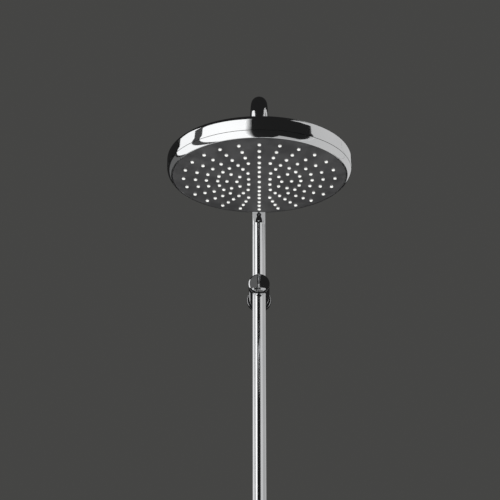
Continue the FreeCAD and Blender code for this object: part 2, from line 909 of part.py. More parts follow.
def make_ball_stud():
    """Hollow ball on a threaded stud; the head tilts and turns on it."""
    ball = size("ball_radius")
    neck = size("stud_neck")
    hole = size("ball_bore")
    foot = ball * size("ball_foot")
    top = STUD_TOP
    low = -foot
    flat_radius = (ball * ball - foot * foot).root()
    neck_z = (ball * ball - neck * neck).root()
    flange_high = size("stud_standoff") - size("stud_washer")
    flange_low = flange_high - size("stud_flange_wall")
    shank = size("elbow_radius") - size("elbow_wall") - size("fixed_gap")
    seat = hole + size("filter_seat")
    seat_low = top - size("filter_seat_depth")
    outline = [
        (hole, low),
        (flat_radius, low),
        (neck, neck_z, ball, True),
        (neck, flange_low),
        (size("stud_flange"), flange_low),
        (size("stud_flange"), flange_high),
        (shank, flange_high),
        (shank, top),
        (seat, top),
        (seat, seat_low),
        (hole, seat_low),
    ]
    body = turned("ball_stud", "z", BALL_AT, outline)
    doc.recompute()
    # spanner flats on the flange
    reach = size("stud_flange")
    for side in (1, -1):
        sketch = new_sketch(body, "XY_Plane")
        sketch.setExpression("AttachmentOffset.Base.z", flange_high.text)
        outer = side * (reach + CUT_CLEAR)
        inner = side * (reach - size("stud_flat"))
        corners = [(inner, -reach), (outer, -reach), (outer, reach), (inner, reach)]
        draw_outline(sketch, corners)
        pocket = body.newObject("PartDesign::Pocket", "ball_stud_flat")
        pocket.Profile = sketch
        bind(pocket, "Length", flange_high - flange_low)


def make_stud_washer():
    inner = size("elbow_radius") - size("elbow_wall")
    top = size("stud_standoff")
    outer = size("stud_flange") - size("seat_gap") * 2
    turned("stud_washer", "z", BALL_AT, ring(inner, outer, top - size("stud_washer"), top))


def make_flow_restrictor():
    """Small disc with one hole, in the top of the stud."""
    outer = size("ball_bore") + size("filter_seat") - size("fixed_gap")
    low = STUD_TOP - size("filter_seat_depth")
    turned("flow_restrictor", "z", BALL_AT, ring(size("restrictor_hole"), outer, low, RESTRICTOR_TOP))


def make_arm_filter():
    """Screen disc above the restrictor."""
    outer = size("ball_bore") + size("filter_seat") - size("fixed_gap")
    low = RESTRICTOR_TOP + size("seat_gap")
    turned("arm_filter_screen", "z", BALL_AT, ring(0, outer, low, low + size("filter_wall")))


# ---------------------------------------------------------------- ball liners

def shell_band(label, inner, outer, band):
    """A band of a hollow sphere between two angles above the equator."""
    low, high = band
    outline = [
        (*turn(inner, low), inner, False),
        turn(outer, low),
        (*turn(outer, high), outer, True),
        turn(inner, high),
    ]
    turned(label, "z", BALL_AT, outline)


def make_liners():
    inner = size("ball_radius") + size("running_gap")
    outer = inner + size("liner_wall")
    shell_band("ball_seat_seal", inner, outer, SEAT_BAND)
    shell_band("ball_thrust_ring", inner, outer, THRUST_BAND)


# ---------------------------------------------------------------- head

def make_ball_cup():
    """Lower half of the ball's housing; its hollow stem screws into the backing plate."""
    cavity = size("ball_radius") + size("liner_wall") + size("running_gap") * 2
    outer = size("cup_radius")
    flange = outer + size("cup_flange")
    top = -size("stud_inset")
    base = SHELL_TOP + size("neck_washer")
    step = -size("nut_below") - size("seat_gap") * 4
    hole = size("cup_spigot_bore")
    hole_z = -((cavity * cavity - hole * hole).root())
    stem = size("cup_spigot_radius")
    outline = [
        (hole, HUB_STEP),
        (stem, HUB_STEP),
        (stem, base),
        (flange, base),
        (flange, step),
        (outer, step),
        (outer, top),
        ((cavity * cavity - top * top).root(), top),
        (hole, hole_z, cavity, False),
    ]
    turned("ball_cup", "z", BALL_AT, outline)


def make_socket_nut():
    """Retaining nut over the ball, open wide enough for the stud to tilt."""
    cavity = size("ball_radius") + size("liner_wall") + size("running_gap") * 2
    thread = size("cup_radius") + size("fixed_gap")
    outer = size("nut_radius")
    low = -size("nut_below")
    top = size("nut_above")
    lip = turn(cavity, size("nut_mouth"))
    mouth = lip[0] + (top - lip[1])
    round_edge = size("nut_round")
    edge = size("edge_break")
    outline = [
        (thread, low),
        (outer - edge, low),
        (outer, low + edge),
        (outer, top - round_edge),
        (mouth + edge, top - size("seat_gap"), round_edge, True),
        (mouth, top),
        (lip[0], lip[1]),
        (cavity, 0, cavity, False),
        (thread, 0),
    ]
    turned("socket_nut", "z", BALL_AT, outline)


def make_neck_washer():
    inner = size("cup_spigot_radius") + size("seat_gap")
    outer = size("cup_radius") + size("edge_break")
    turned("neck_washer", "z", BALL_AT, ring(inner, outer, SHELL_TOP, SHELL_TOP + size("neck_washer")))


def make_top_shell():
    """Polished cover of the head: shallow dome, rounded shoulder, open below."""
    wall = size("shell_wall")
    outer = size("rim_round")
    inner = outer - wall
    side = size("rim_centre") + outer
    top_outer = size("rim_top_round")
    top_inner = top_outer - wall
    centre = side - top_outer
    upper = SHELL_TOP - size("rim_upper")
    lower = SHELL_TOP - size("rim_lower")
    cut = SHELL_TOP - size("seam_level") + size("seam_gap") / 2
    hole = size("cup_spigot_radius") + size("seat_gap")
    high_out = turn(top_outer, size("shoulder_angle"))
    high_in = turn(top_inner, size("shoulder_angle"))
    dome = size("dome_radius")
    neck = size("cup_radius") + size("cup_flange")
    outline = [
        (rim_reach(inner, cut), cut, inner, False),
        (rim_reach(outer, cut), cut),
        (side, lower, outer, True),
        (side, upper),
        (centre + high_out[0], upper + high_out[1], top_outer, True),
        (neck, SHELL_TOP, dome, True),
        (hole, SHELL_TOP),
        (hole, SHELL_TOP - wall),
        (neck, SHELL_TOP - wall),
        (centre + high_in[0], upper + high_in[1], dome, False),
        (side - wall, upper, top_inner, False),
        (side - wall, lower),
    ]
    turned("head_top_shell", "z", BALL_AT, outline)


def rim_reach(radius, level):
    """How far the rim's lower rounding of a radius reaches out at a level."""
    fall = SHELL_TOP - size("rim_lower") - level
    return size("rim_centre") + (radius * radius - fall * fall).root()


def make_trim_ring():
    """Lower rim: rounded outside, a lip round the face, a ledge clamped inside."""
    wall = size("shell_wall")
    outer = size("rim_round")
    inner = outer - wall
    lip = SHELL_TOP - size("lip_level")
    cut = SHELL_TOP - size("seam_level") - size("seam_gap") / 2
    ledge = cut - size("ledge_wall")
    lip_in = size("face_radius") + size("lip_gap")
    ledge_in = size("face_screw_circle") - size("ledge_width")
    outline = [
        (lip_in, lip),
        (lip_in + size("lip_width"), lip),
        (rim_reach(outer, cut), cut, outer, True),
        (ledge_in, cut),
        (ledge_in, ledge),
        (rim_reach(inner, ledge), ledge),
        (lip_in + size("lip_land"), lip + wall, inner, False),
        (lip_in, lip + wall),
    ]
    body = turned("head_trim_ring", "z", BALL_AT, outline)
    drill_screw_circle(body, size("face_screw_radius") + size("seat_gap"))


def drill_screw_circle(body, radius):
    doc.recompute()
    hole = bore(body, "XY_Plane", (size("face_screw_circle"), 0), radius, DRILL_DEPTH)
    around(body, [hole], size("face_screw_count"))


def make_seam_gasket():
    level = SHELL_TOP - size("seam_level")
    half = size("seam_gap") / 2
    outer = rim_reach(size("rim_round"), level) - size("seam_gap")
    inner = outer - size("shell_wall")
    turned("seam_gasket", "z", BALL_AT, ring(inner, outer, level - half, level + half))


def face_drop(radius):
    """Level of the face's underside, below the shell's top, at a radius."""
    share = as_size(radius) / size("nozzle_ring")
    return size("face_level") + size("face_sag") * (1 - share * share)


def cap_arc_radius(offset):
    """Sphere radius of the gently domed face, for a surface offset upwards."""
    ring_radius = size("nozzle_ring")
    sag = size("face_sag")
    return (ring_radius * ring_radius + sag * sag) / (2 * sag) - offset


def domed_plate(offset, wall, outer):
    """Outline of a plate that follows the face: from the axis out and back."""
    low = SHELL_TOP - face_drop(0) + offset
    big = cap_arc_radius(offset)
    edge_low = low + big - (big * big - outer * outer).root()
    upper = cap_arc_radius(offset + wall)
    edge_high = low + wall + upper - (upper * upper - outer * outer).root()
    return [
        (0, low),
        (outer, edge_low, big, True),
        (outer, edge_high),
        (0, low + wall, upper, False),
    ]


def make_spray_face():
    """Dark face plate with an upstand that closes the spray chamber."""
    outer = size("face_radius")
    plate = domed_plate(0, size("face_wall"), outer)
    inner = size("wall_ring_inner")
    big = cap_arc_radius(size("face_wall"))
    low = SHELL_TOP - face_drop(0) + size("face_wall")
    step = low + big - (big * big - inner * inner).root()
    top = SHELL_TOP - size("chamber_level")
    outline = plate[:2] + [(outer, top), (inner, top), (inner, step), (0, low, big, False)]
    body = turned("spray_face", "z", BALL_AT, outline)
    doc.recompute()
    for share, count in NOZZLE_RINGS:
        radius = size("nozzle_ring") * share
        hole = bore(body, "XY_Plane", (0, -radius), size("nozzle_radius") + size("seat_gap"), DRILL_DEPTH)
        around(body, [hole], count)
    bore(body, "XY_Plane", (0, 0), size("nozzle_radius") + size("seat_gap"), DRILL_DEPTH)
    doc.recompute()
    sketch = new_sketch(body, "XY_Plane")
    sketch.setExpression("AttachmentOffset.Base.z", top.text)
    draw_circle(sketch, (size("face_screw_circle"), 0), size("face_screw_radius"))
    hole = body.newObject("PartDesign::Pocket", "spray_face_screw")
    hole.Profile = sketch
    bind(hole, "Length", size("face_screw_hole"))
    around(body, [hole], size("face_screw_count"))


def nozzle(body, radius):
    """One soft nozzle standing down through the face at a radius."""
    tip = SHELL_TOP - face_drop(radius) - size("nozzle_height")
    root = SHELL_TOP - face_drop(radius) + size("face_wall") + size("mat_wall") / 2
    outer = size("nozzle_radius")
    hole = size("nozzle_bore")
    edge = outer * size("nozzle_round")
    sketch = new_sketch(body, "YZ_Plane")
    sketch.setExpression("AttachmentOffset.Base.x", (-radius).text)
    outline = [
        (hole, tip),
        (outer - edge, tip),
        (outer, tip + edge, edge, True),
        (outer, root),
        (hole, root),
    ]
    draw_outline(sketch, outline)
    feature = body.newObject("PartDesign::Revolution", "nozzle")
    feature.Profile = sketch
    feature.ReferenceAxis = (sketch, ["V_Axis"])
    feature.Angle = 360
    return feature


def make_nozzle_mat():
    """Silicone mat behind the face; every nozzle is a teat of this one moulding."""
    outer = size("wall_ring_inner") - size("lip_gap")
    body = turned("nozzle_mat", "z", BALL_AT, domed_plate(size("face_wall"), size("mat_wall"), outer))
    doc.recompute()
    for share, count in NOZZLE_RINGS:
        radius = size("nozzle_ring") * share
        teat = nozzle(body, radius)
        hole = bore(body, "XY_Plane", (0, -radius), size("nozzle_bore"), DRILL_DEPTH)
        around(body, [teat, hole], count)
    nozzle(body, as_size(0))
    bore(body, "XY_Plane", (0, 0), size("nozzle_bore"), DRILL_DEPTH)


def make_backing_plate():
    """Lid of the spray chamber, with the threaded hub that carries the head."""
    low = SHELL_TOP - size("chamber_level")
    high = low + size("plate_wall")
    tight = size("fixed_gap")
    hub = size("hub_radius")
    hub_top = SHELL_TOP - size("shell_wall") - size("seat_gap") * 2
    outer = size("face_radius")
    stem = size("cup_spigot_radius")
    hole = stem - size("hub_step")
    step = HUB_STEP - size("hub_section")
    groove_mid = size("wall_ring_inner") + size("chamber_groove")
    groove_half = size("chamber_section") / 2 + size("seat_gap") * 2
    groove_top = low + size("chamber_section")
    outline = [
        (hole, low),
        (groove_mid - groove_half, low),
        (groove_mid - groove_half, groove_top),
        (groove_mid + groove_half, groove_top),
        (groove_mid + groove_half, low),
        (outer, low),
        (outer, high - tight),
        (hub, high - tight),
        (hub, hub_top),
        (stem, hub_top),
        (stem, step),
        (hole, step),
    ]
    body = turned("backing_plate", "z", BALL_AT, outline)
    drill_screw_circle(body, size("face_screw_radius") + size("seat_gap"))


def make_chamber_seal():
    section = size("chamber_section")
    at = (0, HEAD_Y, BALL_Z + SHELL_TOP - size("chamber_level") + section / 2)
    oring("chamber_seal", at, size("wall_ring_inner") + size("chamber_groove"), section)


def make_hub_oring():
    section = size("hub_section")
    at = (0, HEAD_Y, BALL_Z + HUB_STEP - section / 2)
    oring("hub_oring", at, size("cup_spigot_radius") - section / 2, section)


def make_face_screws():
    """Identical screws that clamp the trim ring, the backing plate and the face."""
    seat = SHELL_TOP - size("seam_level") - size("seam_gap") / 2
    radius = size("face_screw_radius")
    length = size("ledge_wall") + size("plate_wall") + size("face_screw_hole") - size("lip_gap")
    rise = size("face_screw_head")
    edge = rise / 2
    head = radius + size("ledge_wall")
    body = new_body("face_screws", BALL_AT)
    body.AllowCompound = True
    sketch = new_sketch(body, "XZ_Plane")
    sketch.setExpression("AttachmentOffset.Base.x", size("face_screw_circle").text)
    outline = [
        (0, seat - length),
        (radius, seat - length),
        (radius, seat),
        (head, seat),
        (head, seat + edge),
        (head - edge, seat + rise, edge, True),
        (0, seat + rise),
    ]
    draw_outline(sketch, outline)
    screw = body.newObject("PartDesign::Revolution", "face_screw")
    screw.Profile = sketch
    screw.ReferenceAxis = (sketch, ["V_Axis"])
    screw.Angle = 360
    around(body, [screw], size("face_screw_count"))


# ---------------------------------------------------------------- build, test and export

MAKERS = [
    make_riser_tube,
    make_riser_top_socket,
    make_swivel_thrust_ring,
    make_bracket_body,
    make_bracket_front_cap,
    make_cap_oring,
    make_bracket_flange,
    make_flange_seal,
    make_bracket_wall_plate,
    make_wall_screw,
    make_wall_plug,
    make_side_screws,
    make_inlet_elbow,
    make_union,
    make_inlet_nipple,
    make_inlet_screen,
    make_inlet_rosette,
    make_rosette_seal,
    make_arm_tube,
    make_arm_spigot,
    make_spigot_orings,
    make_arm_front_elbow,
    make_ball_stud,
    make_stud_washer,
    make_flow_restrictor,
    make_arm_filter,
    make_liners,
    make_ball_cup,
    make_socket_nut,
    make_neck_washer,
    make_top_shell,
    make_trim_ring,
    make_seam_gasket,
    make_spray_face,
    make_nozzle_mat,
    make_backing_plate,
    make_chamber_seal,
    make_hub_oring,
    make_face_screws,
]
for make in MAKERS:
    make()
doc.recompute()

for item in doc.Objects:
    if "Invalid" in item.State or "Error" in item.State:
        raise RuntimeError(f"{item.Name} did not recompute: {item.State}")

sub_parts = [item for item in doc.Objects if item.TypeId == "PartDesign::Body"]
for part in sub_parts:
    if part.Shape.isNull() or not part.Shape.isValid() or not part.Shape.Solids:
        raise RuntimeError(f"{part.Label} has no sound solid")

os.makedirs("parts", exist_ok=True)
for part in sub_parts:
    part.Shape.exportStep(os.path.join("parts", f"{part.Label}.step"))
    print(f"{part.Label:24s} {len(part.Shape.Solids):3d} solid(s) {part.Shape.Volume:12.1f} mm3")
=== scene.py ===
import json
import math

import bmesh
import bpy
from mathutils import Matrix, Vector


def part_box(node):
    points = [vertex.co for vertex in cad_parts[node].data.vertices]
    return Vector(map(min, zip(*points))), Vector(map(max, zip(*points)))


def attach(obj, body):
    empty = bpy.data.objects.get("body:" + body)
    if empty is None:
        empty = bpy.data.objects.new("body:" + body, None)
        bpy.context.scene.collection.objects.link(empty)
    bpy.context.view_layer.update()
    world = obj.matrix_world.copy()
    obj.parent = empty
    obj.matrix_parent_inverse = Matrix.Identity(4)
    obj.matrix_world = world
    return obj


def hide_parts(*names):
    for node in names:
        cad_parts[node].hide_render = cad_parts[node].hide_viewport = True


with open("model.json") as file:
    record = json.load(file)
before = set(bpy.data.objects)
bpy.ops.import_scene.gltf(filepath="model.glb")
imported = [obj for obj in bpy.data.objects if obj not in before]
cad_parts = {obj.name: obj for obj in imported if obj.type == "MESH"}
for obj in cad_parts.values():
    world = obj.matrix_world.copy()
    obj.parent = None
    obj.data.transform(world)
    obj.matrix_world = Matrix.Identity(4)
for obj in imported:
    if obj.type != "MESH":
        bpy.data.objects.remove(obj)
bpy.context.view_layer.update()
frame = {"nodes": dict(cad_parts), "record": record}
NODES = frame["nodes"]


# ---------------------------------------------------------------- places taken from the frame

def middle(node):
    low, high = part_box(node)
    return (Vector(low) + Vector(high)) / 2


HEAD = middle("spray_face")                       # on the head's axis
RISER = middle("riser_tube")
FLOOR = -2.10                                     # the column hangs with its face 2.1 m over the floor


# ---------------------------------------------------------------- materials

def new_material(name):
    mat = bpy.data.materials.new(name)
    mat.use_nodes = True
    nodes = mat.node_tree.nodes
    return mat, nodes, mat.node_tree.links, nodes["Principled BSDF"]


def noise(nodes, links, scale, detail=4.0):
    """Noise in the part's own metres, so it doesn't slide with the camera."""
    where = nodes.new("ShaderNodeTexCoord")
    field = nodes.new("ShaderNodeTexNoise")
    field.inputs["Scale"].default_value = scale
    field.inputs["Detail"].default_value = detail
    field.inputs["Roughness"].default_value = 0.55
    links.new(where.outputs["Object"], field.inputs["Vector"])
    return field


def spread(nodes, links, source, low, high):
    """Maps the middle part of a noise onto a range."""
    span = nodes.new("ShaderNodeMapRange")
    span.inputs["From Min"].default_value = 0.3
    span.inputs["From Max"].default_value = 0.7
    span.inputs["To Min"].default_value = low
    span.inputs["To Max"].default_value = high
    links.new(source, span.inputs["Value"])
    return span.outputs["Result"]


def two_tone(nodes, links, source, dark, light):
    """Colours a noise between two tones."""
    ramp = nodes.new("ShaderNodeValToRGB")
    ramp.color_ramp.elements[0].position = 0.35
    ramp.color_ramp.elements[0].color = (*dark, 1)
    ramp.color_ramp.elements[1].position = 0.65
    ramp.color_ramp.elements[1].color = (*light, 1)
    links.new(source, ramp.inputs["Fac"])
    return ramp.outputs["Color"]


def bump(nodes, links, shader, height, strength, distance):
    node = nodes.new("ShaderNodeBump")
    node.inputs["Strength"].default_value = strength
    node.inputs["Distance"].default_value = distance
    links.new(height, node.inputs["Height"])
    links.new(node.outputs["Normal"], shader.inputs["Normal"])


def chrome():
    """Polished plate: faint water haze in the gloss and a slight cloud in the tone."""
    mat, nodes, links, shader = new_material("polished_chrome")
    shader.inputs["Metallic"].default_value = 1.0
    haze = noise(nodes, links, 38.0, detail=6.0)
    links.new(spread(nodes, links, haze.outputs["Fac"], 0.035, 0.085), shader.inputs["Roughness"])
    cloud = noise(nodes, links, 9.0, detail=3.0)
    tone = two_tone(nodes, links, cloud.outputs["Fac"], (0.80, 0.81, 0.82), (0.86, 0.865, 0.87))
    links.new(tone, shader.inputs["Base Color"])
    return mat


def machined(name, dark, light):
    """Turned metal left bare, with fine tool grain."""
    rough = 0.28
    mat, nodes, links, shader = new_material(name)
    shader.inputs["Metallic"].default_value = 1.0
    grain = noise(nodes, links, 900.0, detail=3.0)
    links.new(spread(nodes, links, grain.outputs["Fac"], rough, rough + 0.14), shader.inputs["Roughness"])
    cloud = noise(nodes, links, 60.0)
    links.new(two_tone(nodes, links, cloud.outputs["Fac"], dark, light), shader.inputs["Base Color"])
    bump(nodes, links, shader, grain.outputs["Fac"], 0.25, 0.00005)
    return mat


def moulded(name, dark, light, rough):
    """Moulded plastic or rubber with a fine grain."""
    mat, nodes, links, shader = new_material(name)
    grain = noise(nodes, links, 1800.0, detail=2.0)
    cloud = noise(nodes, links, 45.0, detail=5.0)
    links.new(two_tone(nodes, links, cloud.outputs["Fac"], dark, light), shader.inputs["Base Color"])
    gloss = spread(nodes, links, grain.outputs["Fac"], rough - 0.05, rough + 0.08)
    links.new(gloss, shader.inputs["Roughness"])
    bump(nodes, links, shader, grain.outputs["Fac"], 0.35, 0.00006)
    return mat


MATERIALS = {
    "chrome": chrome(),
    "raw_brass": machined("machined_brass", (0.58, 0.42, 0.18), (0.72, 0.55, 0.27)),
    "steel": machined("zinc_steel", (0.50, 0.51, 0.53), (0.64, 0.65, 0.66)),
    "seal_rubber": moulded("seal_rubber", (0.012, 0.012, 0.012), (0.03, 0.03, 0.03), 0.6),
    "acetal": moulded("acetal", (0.70, 0.70, 0.67), (0.80, 0.80, 0.77), 0.42),
    "plug_nylon": moulded("grey_nylon", (0.34, 0.35, 0.36), (0.42, 0.43, 0.44), 0.5),
    "face_grey": moulded("face_grey", (0.036, 0.036, 0.037), (0.056, 0.056, 0.057), 0.36),
    "nozzle_silicone": moulded("nozzle_silicone", (0.80, 0.80, 0.78), (0.90, 0.90, 0.88), 0.45),
}
for part in frame["record"]["subparts"]:
    target = NODES[part["node"]]
    for slot in target.material_slots:
        slot.material = MATERIALS[part["material_slot"]]


# ---------------------------------------------------------------- mesh helpers

def circle_arc(centre, radius, start, end, steps=12):
    """Points on an arc of an outline, angles in degrees above the outward direction."""
    points = []
    for i in range(steps + 1):
        angle = math.radians(start + (end - start) * i / steps)
        points.append((centre[0] + radius * math.cos(angle), centre[1] + radius * math.sin(angle)))
    return points


def eased(points, radius, steps=4):
    """The same closed outline with its sharp corners rounded."""
    rounded = []
    count = len(points)
    for i in range(count):
        before = Vector(points[i - 1])
        corner = Vector(points[i])
        after = Vector(points[(i + 1) % count])
        into = before - corner
        out = after - corner
        if into.length < 1e-9 or out.length < 1e-9 or corner.x < 1e-6:
            rounded.append(tuple(corner))
            continue
        angle = into.angle(out)
        if angle > math.radians(150):
            rounded.append(tuple(corner))
            continue
        cut = min(radius / math.tan(angle / 2), into.length * 0.45, out.length * 0.45)
        a = corner + into.normalized() * cut
        b = corner + out.normalized() * cut
        for k in range(steps + 1):
            t = k / steps
            rounded.append(tuple(a * (1 - t) ** 2 + corner * 2 * t * (1 - t) + b * t ** 2))
    return rounded


def finish_mesh(name, shape, material, body, replaced, sharp=35):
    """Turns a bmesh into a piece with smooth shading, a finish, a body and the nodes that it stands for."""
    bmesh.ops.remove_doubles(shape, verts=shape.verts, dist=1e-7)
    bmesh.ops.recalc_face_normals(shape, faces=shape.faces)
    mesh = bpy.data.meshes.new(name)
    shape.to_mesh(mesh)
    shape.free()
    for polygon in mesh.polygons:
        polygon.use_smooth = True
    mesh.set_sharp_from_angle(angle=math.radians(sharp))
    mesh.materials.append(MATERIALS[material])
    piece = bpy.data.objects.new(name, mesh)
    bpy.context.scene.collection.objects.link(piece)
    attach(piece, body)
    if replaced:
        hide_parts(*replaced)
    return piece


def grid(shape, rings, closed):
    """Joins rings of points into a skin; closed also joins the last ring to the first."""
    rows = [[shape.verts.new(p) for p in row] for row in rings]
    pairs = list(zip(rows, rows[1:]))
    if closed:
        pairs.append((rows[-1], rows[0]))
    for low, high in pairs:
        for i in range(len(low)):
            k = (i + 1) % len(low)
            shape.faces.new((low[i], low[k], high[k], high[i]))


def spun(outline, centre, axis, steps, shaping=None):
    """Rings of an outline turned about an axis; shaping(radius, height, angle) may trim the radius."""
    rings = []
    for radius, height in outline:
        row = []
        for i in range(steps):
            angle = 2 * math.pi * i / steps
            r = shaping(radius, height, angle) if shaping else radius
            u = r * math.cos(angle)
            v = r * math.sin(angle)
            if axis == "z":
                row.append(Vector((centre[0] + u, centre[1] + v, centre[2] + height)))
            else:
                row.append(Vector((centre[0] + u, centre[1] + height, centre[2] + v)))
        rings.append(row)
    return rings


def lathe(name, outline, centre, axis, material, body, replaced, steps=128, shaping=None, sharp=35):
    """A piece turned about the Z or Y axis through centre from a closed outline of (radius, height)."""
    shape = bmesh.new()
    grid(shape, spun(outline, centre, axis, steps, shaping), closed=True)
    drop_slivers(shape)
    return finish_mesh(name, shape, material, body, replaced, sharp)


def drop_slivers(shape):
    """Where an outline meets its axis, a ring is one point: its faces of no area go."""
    bmesh.ops.remove_doubles(shape, verts=shape.verts, dist=1e-7)
    bmesh.ops.dissolve_degenerate(shape, dist=1e-8, edges=shape.edges)


def route_points(start, corner, end, bend, steps=28):
    """Two straight runs with an arc between them, each point with its direction."""
    start, corner, end = Vector(start), Vector(corner), Vector(end)
    first = (corner - start).normalized()
    last = (end - corner).normalized()
    reach = bend * math.tan(first.angle(last) / 2)
    a = corner - first * reach
    b = corner + last * reach
    hub = a + (b - a - first * (b - a).dot(first)).normalized() * bend
    stations = [(start, first)]
    turn = first.angle(last)
    side = a - hub
    for i in range(steps + 1):
        t = turn * i / steps
        place = hub + side * math.cos(t) + first * bend * math.sin(t)
        stations.append((place, first * math.cos(t) - side.normalized() * math.sin(t)))
    stations.append((end, last))
    return stations


def hose(name, stations, outer, inner, material, body, replaced, ease=0.0003, steps=96):
    """A hollow tube along stations in a plane of constant x; outer may be a function of the way along."""
    length = [0.0]
    for (p, _), (q, _) in zip(stations, stations[1:]):
        length.append(length[-1] + (q - p).length)

    def ring(place, heading, radius):
        across = Vector((1, 0, 0))
        over = across.cross(heading).normalized()
        row = []
        for i in range(steps):
            angle = 2 * math.pi * i / steps
            row.append(place + across * radius * math.cos(angle) + over * radius * math.sin(angle))
        return row

    def size_at(i):
        return outer(length[i] / length[-1]) if callable(outer) else outer

    def end_rings(station, inwards, radius):
        """From an end's flat face out to the full radius, with a shallow groove just inside the edge."""
        place, heading = station
        found = [ring(place, heading, radius - ease)]
        for bow in (45.0, 67.5, 90.0):
            depth = ease * (1 - math.sin(math.radians(bow)))
            found.append(ring(place + heading * inwards * depth, heading, radius - depth))
        return found

    last = len(stations) - 1
    rings = [ring(*stations[0], inner)] + end_rings(stations[0], 1, size_at(0))
    for i in range(1, last):
        rings.append(ring(*stations[i], size_at(i)))
    rings += reversed(end_rings(stations[last], -1, size_at(last)))
    rings.append(ring(*stations[last], inner))
    for i in range(last - 1, 0, -1):
        rings.append(ring(*stations[i], inner))
    shape = bmesh.new()
    grid(shape, rings, closed=True)
    return finish_mesh(name, shape, material, body, replaced)


# ---------------------------------------------------------------- chrome pieces that replace their CAD nodes

MM = 0.001
BALL_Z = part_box("ball_cup")[1][2] + 0.5 * MM
AXIS = Vector((HEAD.x, HEAD.y, 0))
SHELL_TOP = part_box("head_top_shell")[1][2]
RIM_ROUND = 16 * MM
RIM_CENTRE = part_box("head_top_shell")[1][0] - RIM_ROUND
RIM_WALL = 1.5 * MM
RIM_TOP_ROUND = 8 * MM
RIM_UPPER = SHELL_TOP - 20 * MM
RIM_LOWER = SHELL_TOP - 30 * MM
SHOULDER = 80                    # degrees up the rounding where the dome starts
TUBE = 10 * MM
TUBE_BORE = 8.5 * MM
ARM_BEND = 24 * MM
BALL = 11 * MM
CAVITY = 13.1 * MM               # liners' outside, in the ball's housing
CUP = 14.8 * MM
CUP_FLANGE = 16.2 * MM           # also where the head's dome starts
INLET = 13 * MM
LOOSE = 0.1 * MM                 # radial gap of a loose seat
TURNING = 0.05 * MM              # radial gap of a part that turns


def dome_points(edge, top, start, steps=24):
    """A shallow dome from (edge, start) in to the cup at top, level there."""
    points = []
    for i in range(1, steps + 1):
        radius = edge + (CUP_FLANGE - edge) * i / steps
        rise = 1 - max((radius - CUP_FLANGE) / (edge - CUP_FLANGE), 0) ** 1.38
        points.append((radius, start + (top - start) * rise))
    return points


def head_shell():
    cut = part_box("head_top_shell")[0][2]
    inner = RIM_ROUND - RIM_WALL
    hole = 8 * MM + LOOSE
    low_out = math.degrees(math.asin((cut - RIM_LOWER) / RIM_ROUND))
    low_in = math.degrees(math.asin((cut - RIM_LOWER) / inner))
    outline = circle_arc((RIM_CENTRE, RIM_LOWER), RIM_ROUND, low_out, 0, 3)
    top_centre = (RIM_CENTRE + RIM_ROUND - RIM_TOP_ROUND, RIM_UPPER)
    outline += circle_arc(top_centre, RIM_TOP_ROUND, 0, SHOULDER, 32)
    shoulder = outline[-1]
    outline += dome_points(shoulder[0], SHELL_TOP, shoulder[1])
    outline += [(hole, SHELL_TOP), (hole, SHELL_TOP - RIM_WALL)]
    back = circle_arc(top_centre, RIM_TOP_ROUND - RIM_WALL, SHOULDER, 0, 16)
    outline += reversed(dome_points(back[0][0], SHELL_TOP - RIM_WALL, back[0][1]))
    outline += back
    outline += circle_arc((RIM_CENTRE, RIM_LOWER), inner, 0, low_in, 3)
    lathe("head_shell", outline, AXIS, "z", "chrome", "head", ["head_top_shell"], steps=288)


def head_rim():
    low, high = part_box("head_trim_ring")
    inner = RIM_ROUND - RIM_WALL
    lip = low[2]
    cut = high[2]
    lip_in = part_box("spray_face")[1][0] + 0.3 * MM
    ledge = cut - 1.2 * MM
    ledge_in = 104 * MM
    start = math.degrees(math.asin((lip - RIM_LOWER) / RIM_ROUND))
    end = math.degrees(math.asin((cut - RIM_LOWER) / RIM_ROUND))
    edge = 0.35 * MM
    outline = [(lip_in, lip + edge), (lip_in + edge, lip)]
    outline += circle_arc((RIM_CENTRE, RIM_LOWER), RIM_ROUND, start, end, 28)
    outline += [(ledge_in, cut), (ledge_in, ledge)]
    from_angle = math.degrees(math.asin((ledge - RIM_LOWER) / inner))
    to_angle = math.degrees(math.asin((lip + RIM_WALL - RIM_LOWER) / inner))
    outline += circle_arc((RIM_CENTRE, RIM_LOWER), inner, from_angle, to_angle, 14)
    outline += [(lip_in, lip + RIM_WALL)]
    lathe("head_rim", outline, AXIS, "z", "chrome", "head", ["head_trim_ring"], steps=288)


def riser():
    low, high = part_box("riser_tube")
    outline = [(TUBE_BORE, low[2]), (TUBE, low[2]), (TUBE, high[2]), (TUBE_BORE, high[2])]
    lathe("riser", eased(outline, 0.3 * MM), (0, RISER.y, 0), "z", "chrome", "column", ["riser_tube"])


def arm():
    low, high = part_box("arm_tube")
    height = high[2] - TUBE
    stations = route_points((0, RISER.y, low[2]), (0, RISER.y, height), (0, low[1], height), ARM_BEND)
    hose("arm", stations, TUBE, TUBE_BORE, "chrome", "arm", ["arm_tube"])


def arm_elbow():
    """Bend over the head, growing from the tube's width to its own mouth."""
    low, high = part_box("arm_front_elbow")
    height = high[2] - TUBE
    mouth = 12 * MM
    bore = 6.5 * MM
    start = (0, HEAD.y + ARM_BEND, height)
    stations = route_points(start, (0, HEAD.y, height), (0, HEAD.y, low[2]), ARM_BEND, steps=44)[1:]
    bend_length = ARM_BEND * math.pi / 2
    share = bend_length / (bend_length + height - ARM_BEND - low[2])

    def swell(t):
        return TUBE + (mouth - TUBE) * min(t / share, 1.0)

    hose("arm_elbow", stations, swell, bore, "chrome", "arm", ["arm_front_elbow"], ease=1.0 * MM)


